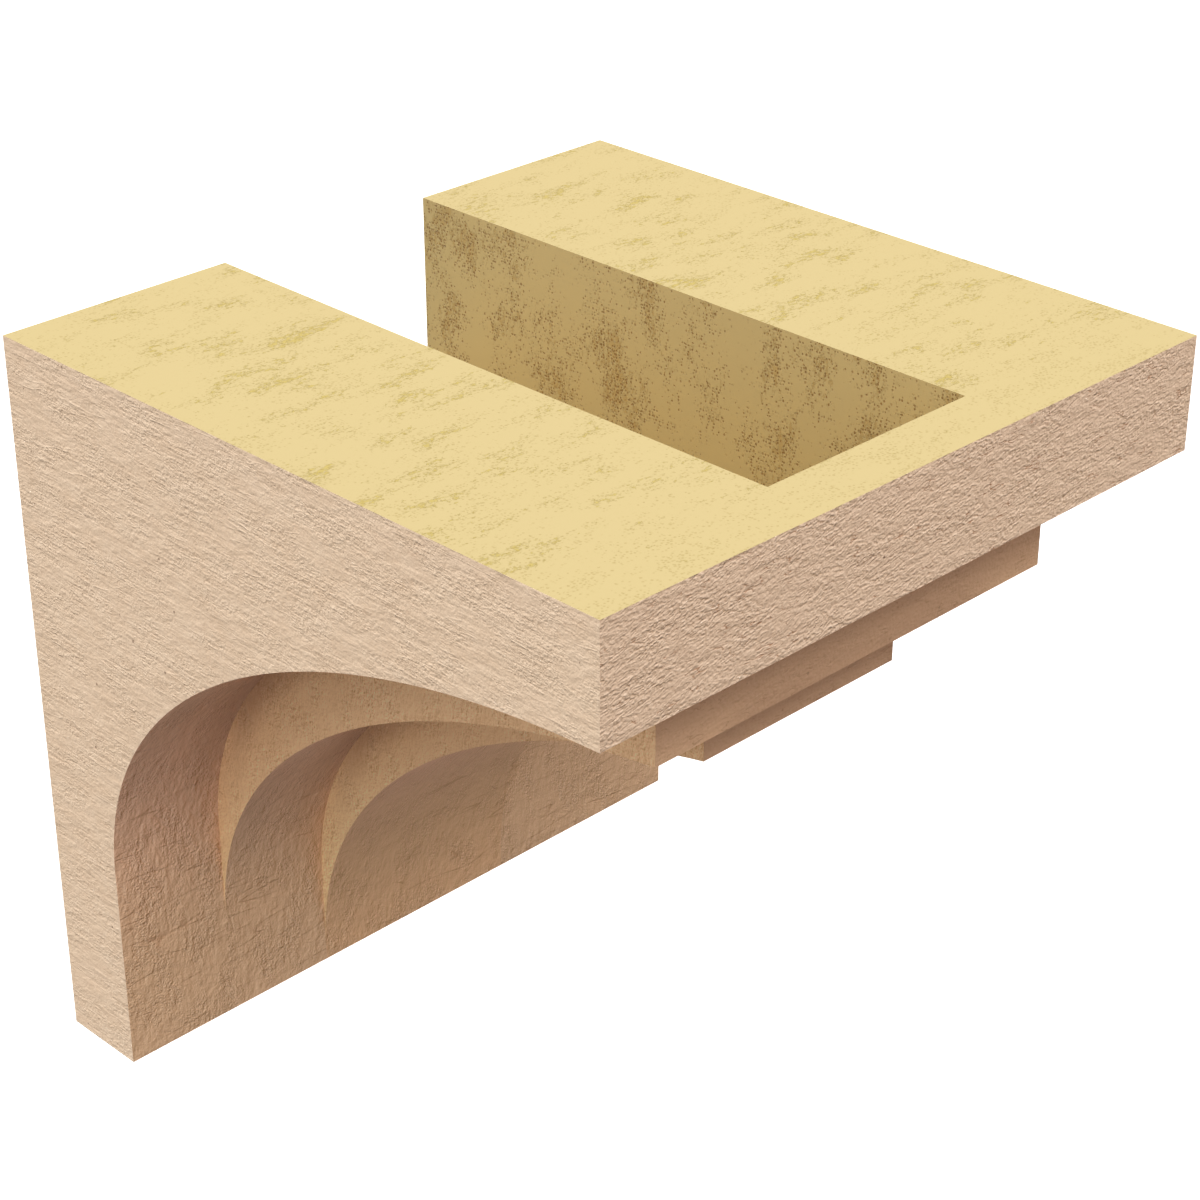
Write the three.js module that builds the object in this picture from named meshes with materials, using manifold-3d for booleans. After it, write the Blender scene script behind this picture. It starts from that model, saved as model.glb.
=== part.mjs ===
// A square-cut urethane corbel, moulded in one piece with a sawn-timber skin.
// It fills a cube: a plate stands flat on the wall, and three stacked tiers reach out from its head.
// Each tier is narrower than the one above it and set further back, and each has a square front
// and a hollow cove sweeping down to the plate. A channel for a beam is cut into the top.
//
// Frame: millimetres, +Z up, the wall is the plane Y = 0 and the front faces -Y.
// The origin is the middle of the back.

import * as THREE from 'three';
import * as BufferGeometryUtils from 'three/addons/utils/BufferGeometryUtils.js';
import Module from 'manifold-3d';

const inch = 25.4;

// Overall size
const corbelWidth = 12 * inch;
const corbelReach = 12 * inch;
const corbelHeight = 12 * inch;

// The plate that stands on the wall
const plateThickness = 39;

// Each tier steps in by this much at either side, and back by this much at the front
const tierInset = 2 * inch;
const tierSetback = 1 * inch;

// How far below the top each tier's front face ends
const topFrontDrop = 1.8 * inch;
const middleFrontDrop = 3.3 * inch;
const lowerFrontDrop = 4.5 * inch;

// How far above the bottom each tier's cove meets the plate
const topCoveFoot = 91;
const middleCoveFoot = 46;
const lowerCoveFoot = 8;

// How far in front of each tier's face the centre of its cove lies
const topCoveLead = 15;
const middleCoveLead = 65.5;
const lowerCoveLead = 114;

// The channel in the top, open at the back, with a rim at the front and a floor that steps up
// under the rim as the tiers do
const channelWidth = 4 * inch;
const channelRim = 1 * inch;
const channelFloor = 19;

const coveSegments = 40;

const top = corbelHeight / 2;
const bottom = -corbelHeight / 2;
const plateFace = -plateThickness;

const topTier = {
  rank: 0, frontDrop: topFrontDrop, coveFoot: topCoveFoot, coveLead: topCoveLead,
};
const middleTier = {
  rank: 1, frontDrop: middleFrontDrop, coveFoot: middleCoveFoot, coveLead: middleCoveLead,
};
const lowerTier = {
  rank: 2, frontDrop: lowerFrontDrop, coveFoot: lowerCoveFoot, coveLead: lowerCoveLead,
};
const tiers = [topTier, middleTier, lowerTier];

const wasm = await Module();
wasm.setup();

function toSolid(geometry) {
  const bare = geometry.clone();
  bare.deleteAttribute('normal');
  bare.deleteAttribute('uv');
  const merged = BufferGeometryUtils.mergeVertices(bare, 1e-4);
  return new wasm.Manifold(new wasm.Mesh({
    numProp: 3,
    vertProperties: new Float32Array(merged.attributes.position.array),
    triVerts: new Uint32Array(merged.index.array),
  }));
}

function toGeometry(solid) {
  const mesh = solid.getMesh();
  const geometry = new THREE.BufferGeometry();
  geometry.setAttribute('position', new THREE.BufferAttribute(new Float32Array(mesh.vertProperties), 3));
  geometry.setIndex(new THREE.BufferAttribute(new Uint32Array(mesh.triVerts), 1));
  return geometry;
}

// A side outline, drawn as (Y, Z), given this width along X and centred on X = 0
function acrossWidth(outline, width) {
  const geometry = new THREE.ExtrudeGeometry(outline, {
    depth: width,
    bevelEnabled: false,
    curveSegments: coveSegments,
  });
  geometry.translate(0, 0, -width / 2);
  const alongY = new THREE.Vector3(0, 1, 0);
  const alongZ = new THREE.Vector3(0, 0, 1);
  const alongX = new THREE.Vector3(1, 0, 0);
  geometry.applyMatrix4(new THREE.Matrix4().makeBasis(alongY, alongZ, alongX));
  return geometry;
}

function widthOf(tier) {
  return corbelWidth - 2 * tier.rank * tierInset;
}

function faceOf(tier) {
  return -corbelReach + tier.rank * tierSetback;
}

// The part of an ellipse that a tier's cove follows: it leaves the foot of the front face and
// ends upright on the plate
function coveOf(tier) {
  const centreY = faceOf(tier) - tier.coveLead;
  const centreZ = bottom + tier.coveFoot;
  const radiusY = plateFace - centreY;
  const startCosine = tier.coveLead / radiusY;
  const rise = top - tier.frontDrop - centreZ;
  const radiusZ = rise / Math.sqrt(1 - startCosine * startCosine);
  return { centreY, centreZ, radiusY, radiusZ, startAngle: Math.acos(startCosine) };
}

function coveHeight(cove, y) {
  const share = (y - cove.centreY) / cove.radiusY;
  return cove.centreZ + cove.radiusZ * Math.sqrt(1 - share * share);
}

// A tier's side outline, together with the plate behind it
function tierOutline(tier) {
  const cove = coveOf(tier);
  const outline = new THREE.Shape();
  outline.moveTo(0, top);
  outline.lineTo(faceOf(tier), top);
  outline.lineTo(faceOf(tier), top - tier.frontDrop);
  outline.absellipse(
    cove.centreY, cove.centreZ, cove.radiusY, cove.radiusZ, cove.startAngle, 0, true);
  outline.lineTo(plateFace, bottom);
  outline.lineTo(0, bottom);
  outline.closePath();
  return outline;
}

// The channel's side outline. It runs past the top and the back, which leaves both open.
// Its floor keeps channelFloor above the fronts of the top and middle tiers, and at its deepest
// step above the middle tier's cove, which is what it would break into first
function channelOutline() {
  const past = 10;
  const starts = tiers.map((tier) => faceOf(tier) + channelRim);
  const [topStart, middleStart, lowerStart] = starts;
  const ends = [middleStart, lowerStart, past];
  const floors = [
    top - topTier.frontDrop + channelFloor,
    top - middleTier.frontDrop + channelFloor,
    coveHeight(coveOf(middleTier), lowerStart) + channelFloor,
  ];
  const outline = new THREE.Shape();
  outline.moveTo(past, top + past);
  outline.lineTo(topStart, top + past);
  floors.forEach((floor, index) => {
    outline.lineTo(starts[index], floor);
    outline.lineTo(ends[index], floor);
  });
  outline.closePath();
  return outline;
}

function corbelGeometry() {
  const tierSolids = tiers.map((tier) => toSolid(acrossWidth(tierOutline(tier), widthOf(tier))));
  const block = tierSolids.reduce((joined, tierSolid) => joined.add(tierSolid));
  const channel = toSolid(acrossWidth(channelOutline(), channelWidth));
  return toGeometry(block.subtract(channel));
}

const primedSkin = new THREE.MeshStandardMaterial({ color: 0xd9bda0, roughness: 0.85, metalness: 0 });

const corbel = new THREE.Mesh(corbelGeometry(), primedSkin);
corbel.name = 'corbel';

const part = new THREE.Group();
part.name = 'urethane_corbel';
part.add(corbel);

export default part;
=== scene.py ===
import bisect
import math

import bmesh
import bpy
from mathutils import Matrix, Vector, kdtree
from mathutils.geometry import delaunay_2d_cdt


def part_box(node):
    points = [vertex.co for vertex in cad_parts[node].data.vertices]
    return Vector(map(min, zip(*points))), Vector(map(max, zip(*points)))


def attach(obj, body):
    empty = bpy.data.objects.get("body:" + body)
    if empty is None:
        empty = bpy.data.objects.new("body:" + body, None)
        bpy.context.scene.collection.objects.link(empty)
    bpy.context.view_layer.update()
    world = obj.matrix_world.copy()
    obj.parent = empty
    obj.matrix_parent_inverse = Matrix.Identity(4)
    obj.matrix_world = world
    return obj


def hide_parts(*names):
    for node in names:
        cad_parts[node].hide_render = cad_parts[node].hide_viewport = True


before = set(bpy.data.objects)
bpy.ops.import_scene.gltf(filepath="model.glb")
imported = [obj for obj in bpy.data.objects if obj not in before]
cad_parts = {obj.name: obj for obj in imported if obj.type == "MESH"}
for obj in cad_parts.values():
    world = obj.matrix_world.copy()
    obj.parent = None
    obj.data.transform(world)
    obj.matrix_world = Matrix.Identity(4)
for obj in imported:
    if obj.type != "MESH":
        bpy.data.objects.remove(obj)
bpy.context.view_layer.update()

# The corbel is one casting of rigid urethane foam, poured into a mould that was taken from sawn
# timber, and then primed. A thick plate stands on the wall, and three tiers, each narrower and
# further back than the one above it, sweep down to the plate in hollow coves.
mm = 0.001
inch = 25.4 * mm
moulding_low, moulding_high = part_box("corbel")
half_width = moulding_high[0]
front, back = moulding_low[1], moulding_high[1]
bottom, top = moulding_low[2], moulding_high[2]
plate_face = back - 39 * mm
tier_inset = 2 * inch
tier_setback = 1 * inch


class Tier:
    """One tier: its square front, and the ellipse that its cove follows down to the plate."""

    def __init__(self, rank, front_drop, cove_foot, cove_lead):
        self.half_width = half_width - rank * tier_inset
        self.face = front + rank * tier_setback
        self.front_foot = top - front_drop
        self.cove_end = bottom + cove_foot
        self.centre = self.face - cove_lead
        self.reach = plate_face - self.centre
        rise = self.front_foot - self.cove_end
        self.rise = rise / math.sqrt(1 - (cove_lead / self.reach) ** 2)

    def angle_at(self, y):
        return math.acos(min(1, (y - self.centre) / self.reach))

    def point_at(self, angle):
        y = self.centre + self.reach * math.cos(angle)
        return y, self.cove_end + self.rise * math.sin(angle)

    def height_at(self, y):
        return self.point_at(self.angle_at(y))[1]


top_tier = Tier(0, 1.8 * inch, 91 * mm, 15 * mm)
middle_tier = Tier(1, 3.3 * inch, 46 * mm, 65.5 * mm)
lower_tier = Tier(2, 4.5 * inch, 8 * mm, 114 * mm)

# The channel for a beam is cut into the raw top and open at the back. Its floor steps up towards the
# front as the tiers do, and keeps this much foam under it.
channel_half = 2 * inch
channel_rim = 1 * inch
channel_floor = 19 * mm
channel_starts = [tier.face + channel_rim for tier in (top_tier, middle_tier, lower_tier)]
channel_depths = [
    top_tier.front_foot + channel_floor,
    middle_tier.front_foot + channel_floor,
    middle_tier.height_at(channel_starts[2]) + channel_floor,
]

# The surface is made patch by patch. Each patch is an outline of closely spaced points, filled
# with a lattice that is finer across the grain than along it. Patches that meet share the points
# of their common edge, so that they weld into one closed skin with crisp arrises.
edge_step = 1.9 * mm
skin_along, skin_across = 2.5 * mm, 1.35 * mm
foam_step = 6 * mm
lattice_clearance = 0.7
fill_inside, fill_tolerance = 1, 1e-5
weld_distance = 0.02 * mm
rounding = 1e-9
cove_divisions = 400
# Each patch takes its grain from this much further on in metres, so that no two are alike.
patch_spacing = 0.5


class Surface:
    """How a face came out: how strongly it is sawn, cracked or rippled, and how warm its skin is.
    A golden face is painted with warm bounced light and a ruddy one with shade. A raw face has no
    skin, and is pitted instead."""

    traits = ("raw", "sawn", "cracked", "rippled", "warm", "golden", "ruddy", "pitted")

    def __init__(self, raw=0, sawn=0, cracked=0, rippled=0, warm=0, golden=0, ruddy=0, pitted=0):
        self.values = (raw, sawn, cracked, rippled, warm, golden, ruddy, pitted)
        self.raw = raw


sawn_side = Surface(sawn=1, cracked=0.15)
cracked_front = Surface(sawn=0.2, cracked=1, warm=0.2)
# The lower tiers' fronts, sheltered by the tier above, are painted in shade
sheltered_front = Surface(sawn=0.2, cracked=0.6, ruddy=1)
rippled_cove = Surface(sawn=0.1, rippled=1, warm=0.8)
lowest_cove = Surface(sawn=0.1, rippled=1, warm=1)
# The sides sheltered in the coves are painted with warm bounced light
sheltered_side = Surface(sawn=1, golden=1)
cut_top = Surface(raw=1, pitted=0.35)
cut_wall = Surface(raw=1, pitted=1)


def straight(start, end):
    """The points from start up to but not including end."""
    start, end = Vector(start), Vector(end)
    count = max(1, round((end - start).length / edge_step))
    return [tuple(start.lerp(end, index / count)) for index in range(count)]


def path(*corners):
    """A closed outline through the corners. A corner may be a list of points, as on a curve."""
    points = []
    ends = [corner if isinstance(corner, list) else [corner] for corner in corners]
    for this, following in zip(ends, ends[1:] + ends[:1]):
        points += this[:-1]
        if this[-1] != following[0]:
            points += straight(this[-1], following[0])
    return points


def run_lengths(points):
    """How far along a line each of its points lies."""
    lengths = [0]
    for point, following in zip(points, points[1:]):
        lengths.append(lengths[-1] + math.dist(point, following))
    return lengths


def step_at(lengths, want, slack=0):
    """The step of a line in which a length ends, as its last point's place and a share of it."""
    after = min(len(lengths) - 1, bisect.bisect_left(lengths, want - slack) or 1)
    return after, (want - lengths[after - 1]) / (lengths[after] - lengths[after - 1])


def cove_line(tier, y_start, y_end):
    """Points (y, z) at even steps along a tier's cove between two distances from the wall."""
    start, end = tier.angle_at(y_start), tier.angle_at(y_end)
    fine = [start + (end - start) * index / cove_divisions for index in range(cove_divisions + 1)]
    lengths = run_lengths([tier.point_at(angle) for angle in fine])
    count = round(lengths[-1] / edge_step)
    points = []
    for index in range(count + 1):
        after, share = step_at(lengths, lengths[-1] * index / count)
        points.append(tier.point_at(start + (end - start) * (after - 1 + share) / cove_divisions))
    return points


def whole_cove(tier, lower):
    """A tier's cove down to the plate, and which of its points meets the next tier's front."""
    strip = cove_line(tier, tier.face, lower.face if lower else plate_face)
    legs = cove_line(tier, lower.face, plate_face) if lower else strip[-1:]
    return strip[:-1] + legs, len(strip) - 1


class Moulding:
    """Gathers the patches: their points, triangles, finish and grain, as one mesh."""

    def __init__(self):
        self.points, self.triangles, self.surfaces, self.grain = [], [], [], []
        self.patches = 0

    def patch(self, outline, place, outward, surface, turned=False):
        """Fills an outline in flat (u, v) and puts it in place. The grain runs along u, or along v
        if it is turned. outward is False where (u, v) would face into the foam."""
        across_u, across_v = (foam_step, foam_step) if surface.raw else (skin_along, skin_across)
        if turned:
            across_u, across_v = across_v, across_u
        rim = kdtree.KDTree(len(outline))
        for index, (u, v) in enumerate(outline):
            rim.insert((u, v, 0), index)
        rim.balance()
        low_u, high_u = min(u for u, v in outline), max(u for u, v in outline)
        low_v, high_v = min(v for u, v in outline), max(v for u, v in outline)
        inner = []
        row, v = 0, low_v + across_v
        while v < high_v:
            u = low_u + across_u * (1 if row % 2 else 0.5)
            while u < high_u:
                if rim.find((u, v, 0))[2] > lattice_clearance * min(edge_step, across_u):
                    inner.append((u, v))
                u += across_u
            v += across_v
            row += 1
        flat = [Vector((u / edge_step, v / edge_step)) for u, v in outline + inner]
        made = delaunay_2d_cdt(
            flat, [], [list(range(len(outline)))], fill_inside, fill_tolerance)
        first = len(self.points)
        flat_points = [(p[0] * edge_step, p[1] * edge_step) for p in made[0]]
        self.points += [place(u, v) for u, v in flat_points]
        self.patches += 1
        for triangle in made[2]:
            corners = triangle if outward else triangle[::-1]
            self.triangles.append([first + corner for corner in corners])
            self.surfaces.append(surface)
            for corner in corners:
                u, v = flat_points[corner]
                along, across = (v, u) if turned else (u, v)
                self.grain.append((along + patch_spacing * self.patches, across))

    def mesh(self, name):
        mesh = bpy.data.meshes.new(name)
        mesh.from_pydata(self.points, [], self.triangles, shade_flat=False)
        grain = mesh.uv_layers.new(name="grain")
        grain.uv.foreach_set("vector", [value for pair in self.grain for value in pair])
        for index, trait in enumerate(Surface.traits):
            attribute = mesh.attributes.new(trait, "FLOAT", "FACE")
            values = [surface.values[index] for surface in self.surfaces]
            attribute.data.foreach_set("value", values)
        whole = bmesh.new()
        whole.from_mesh(mesh)
        loose = [vertex for vertex in whole.verts if not vertex.link_faces]
        bmesh.ops.delete(whole, geom=loose, context="VERTS")
        bmesh.ops.remove_doubles(whole, verts=whole.verts, dist=weld_distance)
        whole.to_mesh(mesh)
        whole.free()
        return mesh


def level(z):
    """Lays a patch flat at this height, with u to the right and v to the wall."""
    return lambda x, y: (x, y, z)


def upright(y):
    """Stands a patch up this far from the wall, with u to the right and v upwards."""
    return lambda x, z: (x, y, z)


def sideways(x):
    """Stands a patch up at one side, with u to the wall and v upwards."""
    return lambda y, z: (x, y, z)


def oblong(low_u, high_u, low_v, high_v, *stops):
    """A rectangle's outline. Stops are extra corners on its lower edge, shared with what meets it."""
    lower = [(u, low_v) for u in stops]
    return path((low_u, low_v), *lower, (high_u, low_v), (high_u, high_v), (low_u, high_v))


moulding = Moulding()
tiers = [top_tier, middle_tier, lower_tier]
channel_start, channel_end = channel_starts[0], channel_depths[2]

# The raw top and back, and the skinned bottom
moulding.patch(path(
    (-half_width, front), (half_width, front), (half_width, back), (channel_half, back),
    (channel_half, channel_start), (-channel_half, channel_start), (-channel_half, back),
    (-half_width, back)), level(top), True, cut_top)
moulding.patch(path(
    (-half_width, bottom), (half_width, bottom), (half_width, top), (channel_half, top),
    (channel_half, channel_end), (-channel_half, channel_end), (-channel_half, top),
    (-half_width, top)), upright(back), False, cut_top)
steps_across = [-middle_tier.half_width, -lower_tier.half_width,
                lower_tier.half_width, middle_tier.half_width]
moulding.patch(
    oblong(-half_width, half_width, plate_face, back, *steps_across), level(bottom), False,
    sawn_side)

# The channel's walls, floors and risers
channel_ends = channel_starts[1:] + [back]
channel_profile = [(channel_start, top)]
for start, depth, end in zip(channel_starts, channel_depths, channel_ends):
    channel_profile += [(start, depth), (end, depth)]
channel_profile += [(back, top)]
for side in (-1, 1):
    moulding.patch(path(*channel_profile), sideways(side * channel_half), side < 0, cut_wall, True)
heights = [top] + channel_depths
for upper, depth, start, end in zip(heights, channel_depths, channel_starts, channel_ends):
    moulding.patch(
        oblong(-channel_half, channel_half, start, end), level(depth), True, cut_wall)
    moulding.patch(
        oblong(-channel_half, channel_half, depth, upper), upright(start), False, cut_wall, True)

# The tiers: their fronts, coves and side faces
for upper, tier in zip([None] + tiers, tiers):
    head = upper.height_at(tier.face) if upper else top
    moulding.patch(
        oblong(-tier.half_width, tier.half_width, tier.front_foot, head),
        upright(tier.face), True, sheltered_front if upper else cracked_front)

for tier, lower in zip(tiers, tiers[1:] + [None]):
    curve, meeting = whole_cove(tier, lower)
    stops = [other.cove_end for other in tiers if other.cove_end <= tier.cove_end]
    for start, end in zip(stops, stops[1:] + [bottom]):
        curve = curve[:-1] + straight((plate_face, start), (plate_face, end)) + [(plate_face, end)]
    lengths = run_lengths(curve)

    def along_cove(x, length, curve=curve, lengths=lengths):
        after, share = step_at(lengths, length, rounding)
        (y, z), (next_y, next_z) = curve[after - 1], curve[after]
        return x, y + (next_y - y) * share, z + (next_z - z) * share

    far = [(tier.half_width, length) for length in lengths]
    edges = [far, [(-u, v) for u, v in far[::-1]]]
    if lower:
        near = [(lower.half_width, length) for length in lengths[meeting:]]
        edges[1:1] = [near[::-1], [(-u, v) for u, v in near]]
    moulding.patch(
        path((-tier.half_width, 0), *edges), along_cove, False,
        rippled_cove if lower else lowest_cove, True)

for side in (-1, 1):
    own = whole_cove(top_tier, middle_tier)[0]
    moulding.patch(path(
        (back, top), (front, top), own, (plate_face, middle_tier.cove_end),
        (plate_face, lower_tier.cove_end), (plate_face, bottom), (back, bottom)),
        sideways(side * half_width), side > 0, sawn_side)
    for upper, tier, lower in zip(tiers, tiers[1:], [lower_tier, None]):
        own = whole_cove(tier, lower)[0]
        above = cove_line(upper, tier.face, plate_face)
        moulding.patch(
            path(own, above[::-1]), sideways(side * tier.half_width), side > 0, sheltered_side, True)


class Wire:
    """A socket to reckon with. Arithmetic on it adds Math nodes to its tree, and add makes any
    other node from its type, its settings, and the values or links of its sockets."""

    def __init__(self, tree, socket=None):
        self.tree = tree
        self.socket = socket

    def add(self, kind, settings=None, sockets=None, out=0):
        node = self.tree.nodes.new(kind)
        for name, value in (settings or {}).items():
            setattr(node, name, value)
        for name, value in (sockets or {}).items():
            if isinstance(value, Wire):
                self.tree.links.new(value.socket, node.inputs[name])
            else:
                node.inputs[name].default_value = value
        return Wire(self.tree, node.outputs[out] if node.outputs else None)

    def other(self, name):
        """Another output of the same node."""
        return Wire(self.tree, self.socket.node.outputs[name])

    def math(self, operation, *values):
        return self.add("ShaderNodeMath", {"operation": operation}, dict(enumerate(values)))

    def __add__(self, other):
        return self.math("ADD", self, other)

    __radd__ = __add__

    def __sub__(self, other):
        return self.math("SUBTRACT", self, other)

    def __rsub__(self, other):
        return self.math("SUBTRACT", other, self)

    def __mul__(self, other):
        return self.math("MULTIPLY", self, other)

    __rmul__ = __mul__

    def __truediv__(self, other):
        return self.math("DIVIDE", self, other)

    def __pow__(self, other):
        return self.math("POWER", self, other)

    def ramp(self, low, high):
        """0 up to low, 1 from high, and smooth between. It falls instead where low is above high."""
        return self.add(
            "ShaderNodeMapRange", {"interpolation_type": "SMOOTHSTEP"},
            {"Value": self, "From Min": low, "From Max": high})

    def blend(self, first, second):
        """From the first colour to the second as this goes from 0 to 1."""
        return self.add("ShaderNodeMix", {"data_type": "RGBA"}, {0: self, 6: first, 7: second}, 2)


class Grain:
    """Patterns laid along the grain of each face. Lengths are in millimetres. Each pattern is cut
    from a layer of its own."""

    layer_gap = 7.3

    def __init__(self, wires, along, across, seed=0):
        self.wires, self.along, self.across, self.seed = wires, along, across, seed
        self.drawn = 0

    def place(self, length, width, lean=0):
        self.drawn += 1
        along, across = self.along, self.across
        if lean:
            along, across = along + across * lean, across - along * lean
        return self.wires.add("ShaderNodeCombineXYZ", None, {
            "X": along / length, "Y": across / width, "Z": self.seed + self.layer_gap * self.drawn})

    def noise(self, length, width, detail=2, rough=0.5, lean=0):
        """Blotches of this length along the grain and this width across it, from -1 to 1 or so.
        They lean away from the grain where lean isn't 0."""
        value = self.wires.add("ShaderNodeTexNoise", None, {
            "Vector": self.place(length, width, lean), "Scale": 1, "Detail": detail,
            "Roughness": rough})
        return (value - 0.5) * 2

    def cracks(self, length, width, thick=0.08, detail=2):
        """Thin lines that wander along the grain: 1 in the middle of a line, 0 away from it."""
        return self.wires.math("ABSOLUTE", self.noise(length, width, detail, 0.6)).ramp(thick, 0)


# The mould passed on the sawn timber's relief. It fades out at the arrises, which stay crisp. An
# edge that turns by more than this angle, in radians, is an arris or, where it is hollow, a corner.
arris_angle = 0.6
corner_limit = 100
relief_tree = bpy.data.node_groups.new("sawn relief", "GeometryNodeTree")
relief_inputs = {}


def relief_input(name, kind):
    socket = relief_tree.interface.new_socket(name, in_out="INPUT", socket_type="NodeSocket" + kind)
    relief_inputs[name] = socket.identifier


relief_input("Geometry", "Geometry")
for name in ("Arris margin", "Sawn height", "Cracked height", "Rippled height", "Waviness", "Seed"):
    relief_input(name, "Float")
for name in ("Primed skin", "Raw foam"):
    relief_input(name, "Material")
relief_tree.interface.new_socket("Geometry", in_out="OUTPUT", socket_type="NodeSocketGeometry")

relief = Wire(relief_tree)
given = relief.add("NodeGroupInput")


def on_faces(name, kind="FLOAT"):
    """A value that the mesh carries."""
    return relief.add("GeometryNodeInputNamedAttribute", {"data_type": kind}, {"Name": name})


edge_angle = relief.add("GeometryNodeInputMeshEdgeAngle", out="Unsigned Angle")
is_arris = relief.add(
    "FunctionNodeCompare", {"operation": "GREATER_THAN"}, {0: edge_angle, 1: arris_angle})
arrises = relief.add("GeometryNodeSeparateGeometry", {"domain": "EDGE"}, {
    "Geometry": given, "Selection": is_arris})
to_arris = relief.add(
    "GeometryNodeProximity", {"target_element": "EDGES"}, {0: arrises}, "Distance")
free = (to_arris / given.other("Arris margin")).ramp(0.1, 1)
axes = relief.add("ShaderNodeSeparateXYZ", None, {0: on_faces("grain", "FLOAT_VECTOR")})
grain = Grain(relief, axes * 1000, axes.other("Y") * 1000, given.other("Seed"))
sawn_patches = grain.noise(30, 14).ramp(-0.5, 0.5) * 0.8 + 0.2
sawn_height = grain.noise(16, 2.4, 1) * sawn_patches * given.other("Sawn height")
sawn_height = sawn_height * (1 - on_faces("golden") * 0.5)
cracked_height = grain.noise(5, 2.4, 1) * given.other("Cracked height")
cracked_height = cracked_height * (grain.noise(28, 16).ramp(-0.6, 0.5) * 0.7 + 0.3)
rippled_height = grain.noise(20, 2.6, 1) * given.other("Rippled height")
height = on_faces("sawn") * sawn_height + on_faces("cracked") * cracked_height
height = height + on_faces("rippled") * rippled_height
height = height + grain.noise(50, 30) * given.other("Waviness")
height = height * free * (1 - on_faces("raw"))
normal = relief.add("GeometryNodeInputNormal")
push = relief.add("ShaderNodeVectorMath", {"operation": "SCALE"}, {0: normal, "Scale": height})
crisp = relief.add("GeometryNodeSetShadeSmooth", {"domain": "EDGE"}, {
    "Geometry": given, "Selection": is_arris, "Shade Smooth": False})
worn = relief.add("GeometryNodeSetPosition", None, {"Geometry": crisp, "Offset": push})
# The distance to the hollow corners, which the skin's painted corner shade reads
is_corner = relief.add("FunctionNodeCompare", {"operation": "LESS_THAN"}, {
    0: edge_angle.other("Signed Angle"), 1: -arris_angle})
corners = relief.add("GeometryNodeSeparateGeometry", {"domain": "EDGE"}, {
    "Geometry": given, "Selection": is_corner})
to_corner = relief.add(
    "GeometryNodeProximity", {"target_element": "EDGES"}, {0: corners}, "Distance")
near_corner = relief.math("MINIMUM", to_corner * 1000, corner_limit)
shaded = relief.add("GeometryNodeStoreNamedAttribute", {"data_type": "FLOAT", "domain": "POINT"}, {
    "Geometry": worn, "Name": "near_corner", "Value": near_corner})
real = relief.add("GeometryNodeRealizeInstances", None, {"Geometry": shaded})
skinned = relief.add("GeometryNodeSetMaterial", None, {
    "Geometry": real, "Material": given.other("Primed skin")})
is_raw = relief.add(
    "FunctionNodeCompare", {"operation": "GREATER_THAN"}, {0: on_faces("raw"), 1: 0.5})
finished = relief.add("GeometryNodeSetMaterial", None, {
    "Geometry": skinned, "Selection": is_raw, "Material": given.other("Raw foam")})
relief.add("NodeGroupOutput", None, {"Geometry": finished})


def new_material(name):
    """A material, the wires of its tree and its shader."""
    material = bpy.data.materials.new(name)
    material.use_nodes = True
    return material, Wire(material.node_tree), material.node_tree.nodes["Principled BSDF"]


def plug(shader, socket, wire):
    wire.tree.links.new(wire.socket, shader.inputs[socket])


def laid_on(wires):
    """The grain of the faces, for the patterns of a material, and a way to read their traits."""
    axes = wires.add("ShaderNodeSeparateXYZ", None, {
        0: wires.add("ShaderNodeUVMap", {"uv_map": "grain"})})
    grain = Grain(wires, axes * 1000, axes.other("Y") * 1000)

    def trait(name):
        return wires.add("ShaderNodeAttribute", {"attribute_name": name}, out="Fac")

    return grain, trait


# The skin is a matt primer over what the mould left: crumbs and clods of foam, streaks and ridges
# along the saw's cut on the sides, leathery folds on the fronts, and ripples in the coves.
skin_material, wires, shader = new_material("primed skin")
grain, trait = laid_on(wires)
pale_skin, shaded_ruddy_skin = (0.82, 0.61, 0.43, 1), (0.92, 0.565, 0.335, 1)
low_warm_skin, high_warm_skin = (0.85, 0.51, 0.285, 1), (0.97, 0.54, 0.352, 1)
# The golden skin, yellower low down, is painted warm bounced light on the sheltered sides
low_golden_skin, high_golden_skin = (0.98, 0.727, 0.41, 1), (0.98, 0.63, 0.35, 1)
# The tints of the painted shade and light on the skin's relief
shaded_tint, lit_tint = (0.7, 0.58, 0.46, 1), (1.3, 1.42, 1.54, 1)
crack_colour, pinhole_colour = (0.45, 0.18, 0.08, 1), (0.2, 0.1, 0.06, 1)
# The colours of the painted shade in the inner corners
shade_in_corner, red_shade_in_corner = (0.43, 0.3, 0.22, 1), (0.42, 0.215, 0.135, 1)
sawn, cracked, rippled = trait("sawn"), trait("cracked"), trait("rippled")
golden, ruddy = trait("golden"), trait("ruddy")


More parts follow.
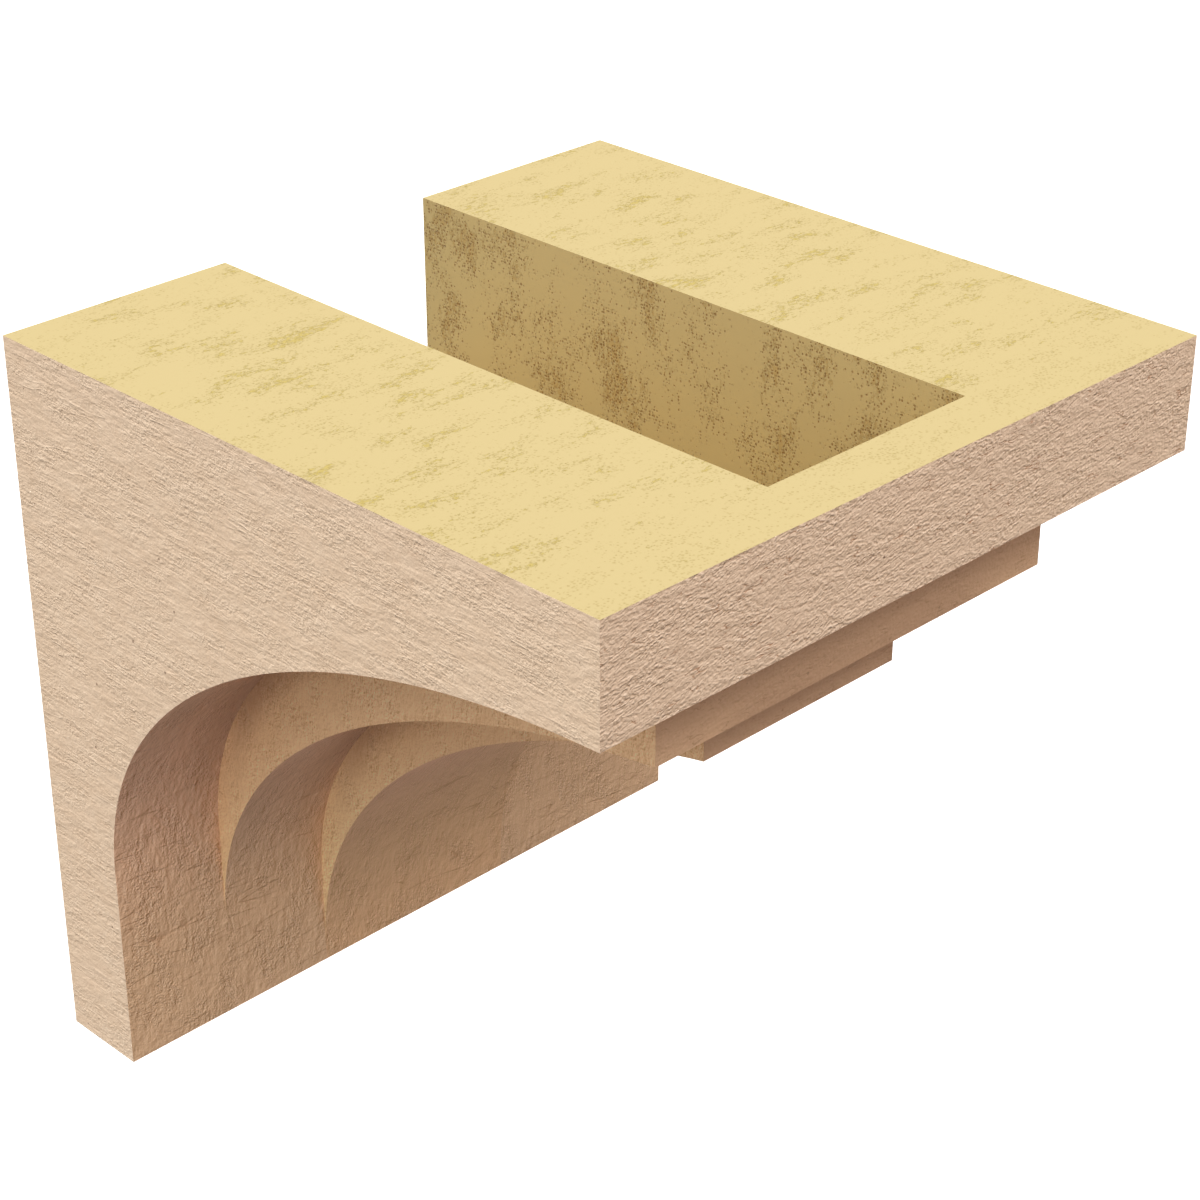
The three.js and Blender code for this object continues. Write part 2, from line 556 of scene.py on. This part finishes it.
class SkinRelief:
    """The skin's fine and broad relief in millimetres, and its cracks."""

    def __init__(self, grain):
        crumb = grain.noise(0.95, 0.85, 1, lean=0.5)
        clods = grain.noise(2.4, 1.8, 2, lean=0.35)
        streaks = grain.noise(24, 1.5, 3, 0.6)
        leather = grain.noise(1.35, 0.88, 1, lean=0.2)
        folds = grain.noise(2.8, 1.65, 2, 0.6, lean=0.2)
        ripples = grain.noise(7, 1.5, 1)
        patches = grain.noise(22, 12, 2).ramp(-0.25, 0.25)
        lumps = grain.noise(6, 3.2, 1)
        ridges = grain.cracks(40, 5, 0.04, 1) * grain.noise(20, 12, 1).ramp(-0.05, 0.2)
        short_cracks = grain.cracks(8, 2.2, 0.05, 1) * grain.noise(9, 6, 1).ramp(0.0, 0.3)
        long_cracks = grain.cracks(9, 80, 0.02, 1) * grain.noise(8, 26).ramp(-0.2, 0.1)
        sawn_marks = streaks * (0.27 - golden * 0.22) + crumb * 0.25 + clods * (0.3 + golden * 0.3)
        sawn_marks = (patches * 0.6 + 0.4) * sawn_marks + ridges * (0.12 - golden * 0.12)
        cracked_marks = (patches * 0.4 + 0.6) * (leather * 0.34 + folds * 0.36)
        rippled_marks = (patches * 0.65 + 0.35) * (ripples * 0.1 + crumb * 0.45 + clods * 0.4)
        self.fine = sawn * sawn_marks + cracked * (cracked_marks - short_cracks * 0.16)
        self.fine = self.fine + rippled * (rippled_marks - long_cracks * 0.2)
        self.broad = lumps * (sawn * 0.2 + cracked * 0.2 + rippled * 0.45)
        self.height = self.fine + self.broad
        self.crumb = crumb
        self.cracks = cracked * short_cracks * 1.3 + rippled * long_cracks * 0.65


# Painted light and shade: slopes that face up to the light are painted paler, and slopes turned away
# from it and the low grooves darker and warmer, as lit relief would look. The slope is the fall to a
# point this far beside each point.
beside_along, beside_across = 0.3, 0.4
here = SkinRelief(grain)
beside = SkinRelief(Grain(wires, grain.along + beside_along, grain.across + beside_across))
slope = here.height - beside.height
bump = wires.add("ShaderNodeBump", None, {
    "Height": here.height * 0.001, "Distance": 1, "Strength": 1})
position = wires.add("ShaderNodeTexCoord", out="Object")
place = wires.add("ShaderNodeSeparateXYZ", None, {0: position})
depth, high = place.other("Y") * 1000, place.other("Z") * 1000
raised = high.ramp(-120, 0)
colour = trait("warm").blend(pale_skin, raised.blend(low_warm_skin, high_warm_skin))
# Painted bounced light: the sheltered sides take a brighter golden skin
colour = golden.blend(colour, raised.blend(low_golden_skin, high_golden_skin))
# Painted shade: the sheltered fronts take a redder skin, darker in green and blue
colour = ruddy.blend(colour, shaded_ruddy_skin)
# Painted light and shade from the slope and the grooves, with a random tone on the sawn sides
shade_and_tone = slope * (sawn * 0.35 + cracked * 1.05 - rippled * 1.5 + golden * 1.2) + here.fine * 0.15
shade_and_tone = shade_and_tone + grain.noise(11, 6, 2) * sawn * 0.12 + 0.5
colour = wires.add("ShaderNodeMix", {"data_type": "RGBA", "blend_type": "MULTIPLY"}, {
    0: 1, 6: colour, 7: shade_and_tone.blend(shaded_tint, lit_tint)}, 2)
colour = (here.cracks * 0.5).blend(colour, crack_colour)

# A few pinholes, where bubbles lay against the mould
bubble = wires.add("ShaderNodeTexVoronoi", {"feature": "F1", "voronoi_dimensions": "2D"}, {
    "Vector": grain.place(26, 26), "Scale": 1}, "Distance")
chance = wires.add("ShaderNodeSeparateXYZ", None, {0: bubble.other("Color")})
bubble_size = chance.other("Y") * 0.018 + 0.012
pinhole = (bubble / bubble_size).ramp(1, 0.55) * chance.ramp(0.6, 0.62)
pinhole = pinhole * (sawn + cracked - golden * 0.25).ramp(0.7, 0.9)
colour = (pinhole * 0.7).blend(colour, pinhole_colour)

# Painted shade: the skin within reach of the inner corners is painted darker and redder, where shade
# falls, most of all on the sheltered fronts
corner_reach = 28 + ruddy * 16 - golden * 12
corner = (trait("near_corner") / corner_reach).ramp(1, ruddy * 0.2) * high.ramp(-100, -10)
corner = corner * (0.5 + golden * (depth.ramp(-44, -66) * 0.55 - 0.45) + ruddy * 0.25)
colour = corner.blend(colour, (golden + ruddy).blend(shade_in_corner, red_shade_in_corner))
plug(shader, "Base Color", colour)
plug(shader, "Normal", bump)
plug(shader, "Roughness", 0.84 + here.crumb * 0.15)
shader.inputs["Specular IOR Level"].default_value = 0.1

# The raw foam is where the casting was sawn off flat: yellow, with smudges, and with burst bubbles
# that show as dark flecks, most of them on the channel's walls.
foam_material, wires, shader = new_material("raw foam")
grain, trait = laid_on(wires)
top_foam, wall_foam = (0.427, 0.337, 0.158, 1), (0.50, 0.38, 0.17, 1)
top_smudge, wall_smudge = (0.365, 0.27, 0.03, 1), (0.43, 0.295, 0.11, 1)
top_fleck, wall_fleck = (0.24, 0.16, 0.03, 1), (0.19, 0.08, 0.016, 1)
pitted = trait("pitted")
on_wall = pitted.ramp(0.35, 1)
position = wires.add("ShaderNodeTexCoord", out="Object")
depth = wires.add("ShaderNodeSeparateXYZ", None, {0: position}, "Y") * 1000
drifts = grain.noise(24 + on_wall * 4, 9 + on_wall * 9, 3, 0.55)
cell = wires.add("ShaderNodeTexVoronoi", {"feature": "F1", "voronoi_dimensions": "2D"}, {
    "Vector": grain.place(1.35, 1.15), "Scale": 1}, "Distance")
chance = wires.add("ShaderNodeSeparateXYZ", None, {0: cell.other("Color")})
fleck_size = chance.other("Y") * 0.35 + 0.3
flecks = (cell / fleck_size).ramp(1, 0.25) * (chance + drifts * 1.15).ramp(0.5, 0.95)
rim = depth.ramp(-270, -290) * (1 - on_wall)
spread = drifts * 0.8 + grain.noise(80, 50, 1) * (1 - on_wall) * 0.12 - rim * 0.24
smudges = grain.noise(3.0, 1.6, 4, 0.8) + spread + (on_wall - 1) * 0.09
smudges = smudges.ramp(0.14, 0.32)
colour = on_wall.blend(top_foam, wall_foam)
colour = (smudges * (0.5 + on_wall * 0.3)).blend(colour, on_wall.blend(top_smudge, wall_smudge))
colour = (flecks * (0.2 + pitted * 0.5)).blend(colour, on_wall.blend(top_fleck, wall_fleck))
pits = flecks * pitted * 0.2 + smudges * 0.1
bump = wires.add("ShaderNodeBump", None, {"Height": pits * -0.001, "Distance": 1, "Strength": 1})
plug(shader, "Base Color", colour)
plug(shader, "Normal", bump)
plug(shader, "Roughness", 0.92 - flecks * 0.1)
shader.inputs["Specular IOR Level"].default_value = 0.25

corbel = bpy.data.objects.new("moulded_corbel", moulding.mesh("moulded_corbel"))
bpy.context.scene.collection.objects.link(corbel)
shaping = corbel.modifiers.new("sawn relief", "NODES")
shaping.node_group = relief_tree
for name, value in {
        "Arris margin": 3 * mm, "Sawn height": 0.3 * mm, "Cracked height": 0.22 * mm,
        "Rippled height": 0.15 * mm, "Waviness": 0.12 * mm, "Seed": 4.0,
        "Primed skin": skin_material, "Raw foam": foam_material}.items():
    shaping[relief_inputs[name]] = value
evaluation = bpy.context.evaluated_depsgraph_get()
shaped_mesh = bpy.data.meshes.new_from_object(
    corbel.evaluated_get(evaluation), preserve_all_data_layers=True, depsgraph=evaluation)
corbel.modifiers.remove(shaping)
corbel.data = shaped_mesh

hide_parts("corbel")
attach(corbel, "root")

# The studio's floor is a broad pale sheet, painted matt. It lies well below the corbel, which hangs
# free as it would on its wall.
floor_half = 40
floor_level = bottom - 1
floor_colour = (0.93, 0.93, 0.93, 1)
floor_mesh = bpy.data.meshes.new("studio_floor")
floor_corners = [(-floor_half, -floor_half), (floor_half, -floor_half),
                 (floor_half, floor_half), (-floor_half, floor_half)]
floor_mesh.from_pydata([(x, y, floor_level) for x, y in floor_corners], [], [(0, 1, 2, 3)])
floor = bpy.data.objects.new("studio_floor", floor_mesh)
bpy.context.scene.collection.objects.link(floor)
floor_finish, wires, shader = new_material("pale floor")
shader.inputs["Base Color"].default_value = floor_colour
shader.inputs["Roughness"].default_value = 0.9
floor_mesh.materials.append(floor_finish)
floor.visible_diffuse = False
floor.visible_shadow = False

# The light is soft, from broad lamps: a strong one overhead, one behind, and weaker ones around.
# Each is strongest in its own direction and fades out at right angles to it.
lamp_focus = 4
lamps = [
    ((0, 0, 1), 3.82), ((0, 1, 0), 2.38), ((-1, -1, 1), 1.33), ((1, 1, -1), 1.2),
    ((1, 0, 0), 0.74), ((-1, 1, 1), 0.41), ((1, -1, 1), 0.56), ((-1, 0, 0), 0.3)]
world = bpy.data.worlds.new("studio")
world.use_nodes = True
background = world.node_tree.nodes["Background"]
wires = Wire(world.node_tree)
sky = wires.add("ShaderNodeTexCoord")
light = 0
for direction, strength in lamps:
    facing = wires.add("ShaderNodeVectorMath", {"operation": "DOT_PRODUCT"}, {
        0: sky, 1: Vector(direction).normalized()}, "Value")
    light = light + wires.math("MAXIMUM", facing, 0) ** lamp_focus * strength
seen = wires.add("ShaderNodeLightPath")
wires.tree.links.new((seen + (1 - seen) * light).socket, background.inputs["Color"])
bpy.context.scene.world = world
bpy.context.scene.view_settings.view_transform = "Standard"

# The camera stands to the left of the corbel, in front of it and above it, and looks down at its
# corner.
viewpoint = (-0.66769, -0.82017, 0.54800)
look_down, look_right = 28.085, 45
focal_length = 84.74
camera_data = bpy.data.cameras.new("camera")
camera_data.sensor_width = 36
camera_data.lens = focal_length
camera = bpy.data.objects.new("camera", camera_data)
camera.location = viewpoint
camera.rotation_euler = (math.radians(90 - look_down), 0, math.radians(-look_right))
bpy.context.scene.collection.objects.link(camera)
bpy.context.scene.camera = camera
